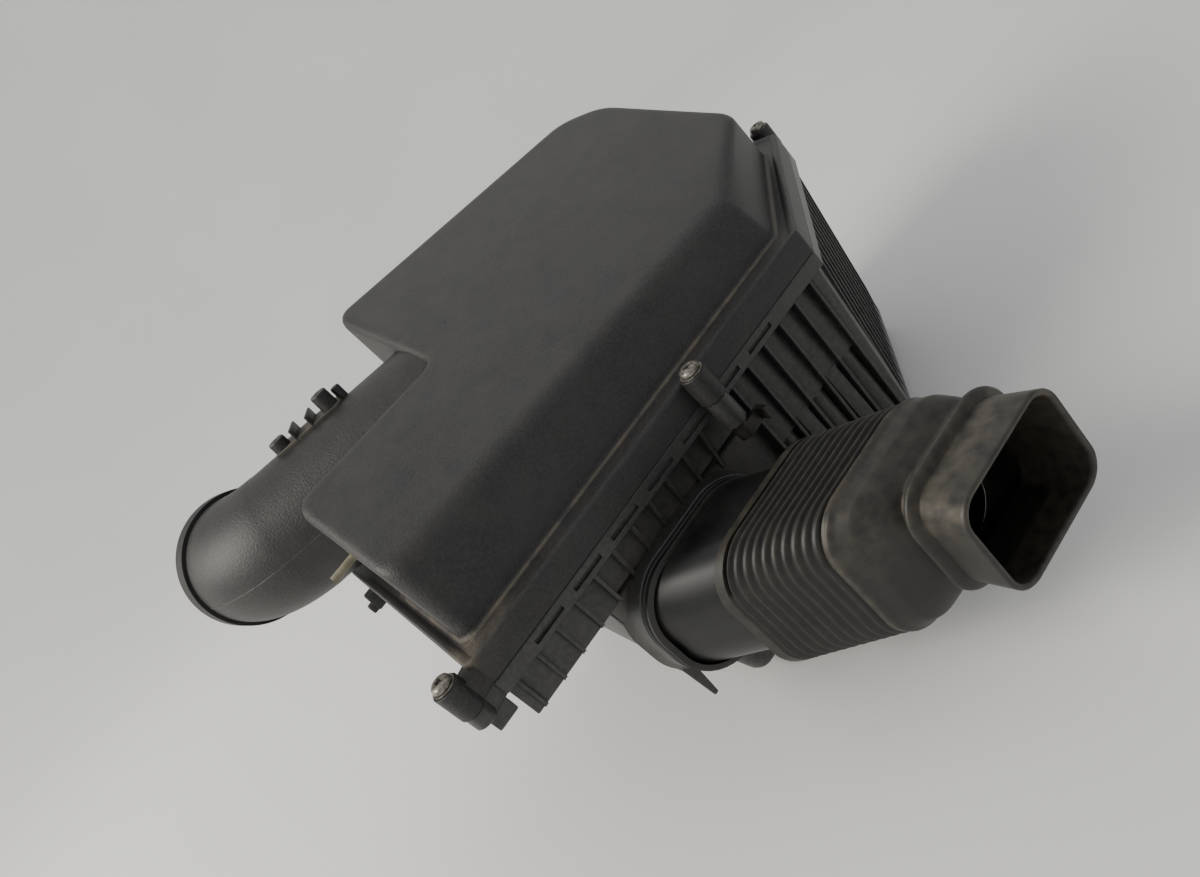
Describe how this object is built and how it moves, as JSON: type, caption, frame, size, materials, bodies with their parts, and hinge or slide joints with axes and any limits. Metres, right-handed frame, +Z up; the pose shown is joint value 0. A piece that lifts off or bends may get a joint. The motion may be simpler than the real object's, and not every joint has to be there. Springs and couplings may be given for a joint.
{
  "type": "air filter housing",
  "caption": "Car air filter housing: ribbed lower body, wedge-shaped lid held by screws, filter element, angled outlet pipe and a corrugated rubber intake hose.",
  "frame": {"origin": "centre of the front locating foot, at the lower face of its rubber bush's shoulder", "axes": "+X to the right along the long front edge, +Y from the intake side towards the back, +Z up, square to the plane where lid and body meet"},
  "size_m": [0.519, 0.4518, 0.3051],
  "materials": {
    "housing_plastic": "matte, fine grained",
    "duct_plastic": "satin",
    "nipple_plastic": "matte",
    "hose_rubber": "dusty",
    "seal_rubber": "matte",
    "filter_foam": "matte",
    "filter_paper": "matte",
    "screw_steel": "zinc plated, dusty"
  },
  "bodies": {
    "housing": {"lower_body": "housing_plastic", "foot_bushes": "seal_rubber", "drain_valve": "seal_rubber", "cable_clip": "duct_plastic", "intake_duct": "duct_plastic", "duct_seal": "seal_rubber", "intake_bellows": "hose_rubber"},
    "hose_end": {"intake_mouth": "hose_rubber"},
    "lid": {"lid_shell": "housing_plastic", "outlet_pipe": "housing_plastic", "flow_screen": "duct_plastic", "outlet_seal": "seal_rubber", "vent_nipple": "nipple_plastic", "screw_washers": "screw_steel"},
    "filter": {"filter_rim": "filter_foam", "filter_pleats": "filter_paper"},
    "lid_screw_1": {"screw_1": "screw_steel"},
    "lid_screw_2": {"screw_2": "screw_steel"},
    "lid_screw_3": {"screw_3": "screw_steel"},
    "lid_screw_4": {"screw_4": "screw_steel"},
    "lid_screw_5": {"screw_5": "screw_steel"}
  },
  "joints": [
    {"name": "lid_lift", "type": "slide", "parent": "housing", "child": "lid", "axis": [0, 0, 1], "range_m": [0, 0.15]},
    {"name": "filter_lift", "type": "slide", "parent": "housing", "child": "filter", "axis": [0, 0, 1], "range_m": [0, 0.06]},
    {"name": "hose_sway", "type": "hinge", "parent": "housing", "child": "hose_end", "pos_m": [0.014, -0.118, 0.077], "axis": [0, 0, 1], "range_deg": [-6, 6], "stiffness_Nm_per_rad": 1.2, "deforming": ["intake_bellows"]},
    {"name": "screw_1_turn", "type": "hinge", "parent": "lid", "child": "lid_screw_1", "pos_m": [-0.162, -0.049, 0.17], "axis": [0, 0, 1], "continuous": true},
    {"name": "screw_2_turn", "type": "hinge", "parent": "lid", "child": "lid_screw_2", "pos_m": [0.036, -0.059, 0.17], "axis": [0, 0, 1], "continuous": true},
    {"name": "screw_3_turn", "type": "hinge", "parent": "lid", "child": "lid_screw_3", "pos_m": [0.28, 0.098, 0.17], "axis": [0, 0, 1], "continuous": true},
    {"name": "screw_4_turn", "type": "hinge", "parent": "lid", "child": "lid_screw_4", "pos_m": [0.15, 0.214, 0.17], "axis": [0, 0, 1], "continuous": true},
    {"name": "screw_5_turn", "type": "hinge", "parent": "lid", "child": "lid_screw_5", "pos_m": [-0.126, 0.214, 0.17], "axis": [0, 0, 1], "continuous": true}
  ],
  "couplings": [
    {"joint": "filter_lift", "follows": "lid_lift", "ratio": 0.4}
  ]
}
